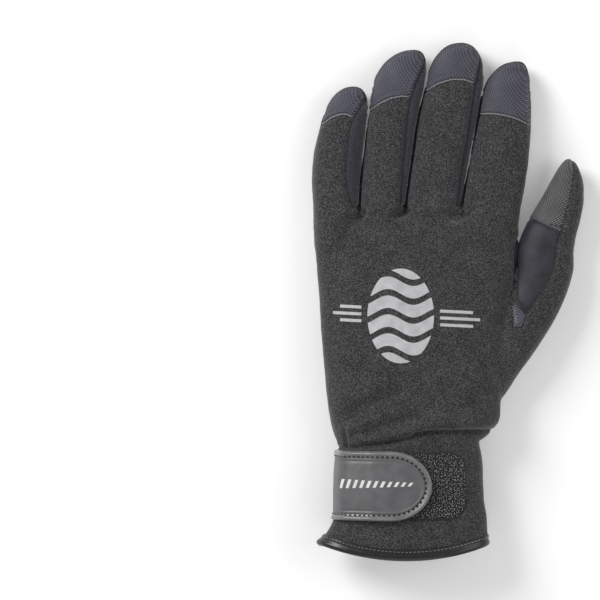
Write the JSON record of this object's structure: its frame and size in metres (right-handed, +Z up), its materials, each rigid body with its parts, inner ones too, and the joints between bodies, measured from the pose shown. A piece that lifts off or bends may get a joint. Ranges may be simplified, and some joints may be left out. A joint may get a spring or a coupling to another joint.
{
  "type": "diving glove",
  "caption": "Left-hand diving glove of thin neoprene, with twill fingertips and palm, a wrist strap and a small D-ring, lying palm down.",
  "frame": {"origin": "under the middle of the glove, on the surface that it lies on", "axes": "+Y from the cuff to the fingertips, +X to the thumb side, +Z up from the palm to the back of the hand"},
  "size_m": [0.1354, 0.2584, 0.0386],
  "materials": {
    "neoprene": "thin neoprene foam faced with a black knitted jersey",
    "cap_twill": "blue-black coated twill, fine diagonal ribs",
    "palm_twill": "grey coated synthetic leather embossed as twill",
    "stretch_insert": "smooth blue-black stretch knit",
    "stretch_panel": "soft brushed stretch knit, blue-black with a reddish cast",
    "binding": "smooth black rubberised tape folded over the edge",
    "hook_and_loop": "black loop pile of a touch fastener",
    "strap_rubber": "moulded satin grey rubber",
    "strap_rim": "moulded glossy black rubber rim",
    "webbing": "ribbed black webbing",
    "coated_steel": "black coated steel wire"
  },
  "bodies": {
    "root": {"back_panel": "neoprene", "cuff": "neoprene", "cuff_binding": "binding", "palm_panel": "palm_twill", "thumb_pad": "palm_twill", "thumb_patch": "cap_twill", "thumb_gusset": "stretch_panel", "hook_pad": "hook_and_loop", "strap_plate": "strap_rubber", "strap_welt": "strap_rim", "ring_tab": "webbing", "d_ring": "coated_steel", "pinky_cap": "cap_twill", "pinky_pad": "palm_twill", "pinky_insert": "stretch_insert", "pinky_sidewall": "neoprene", "ring_cap": "cap_twill", "ring_pad": "palm_twill", "ring_insert": "stretch_insert", "ring_sidewall": "neoprene", "middle_cap": "cap_twill", "middle_pad": "palm_twill", "middle_insert": "stretch_insert", "middle_sidewall": "neoprene", "index_cap": "cap_twill", "index_pad": "palm_twill", "index_insert": "stretch_insert", "index_sidewall": "neoprene"}
  },
  "joints": []
}
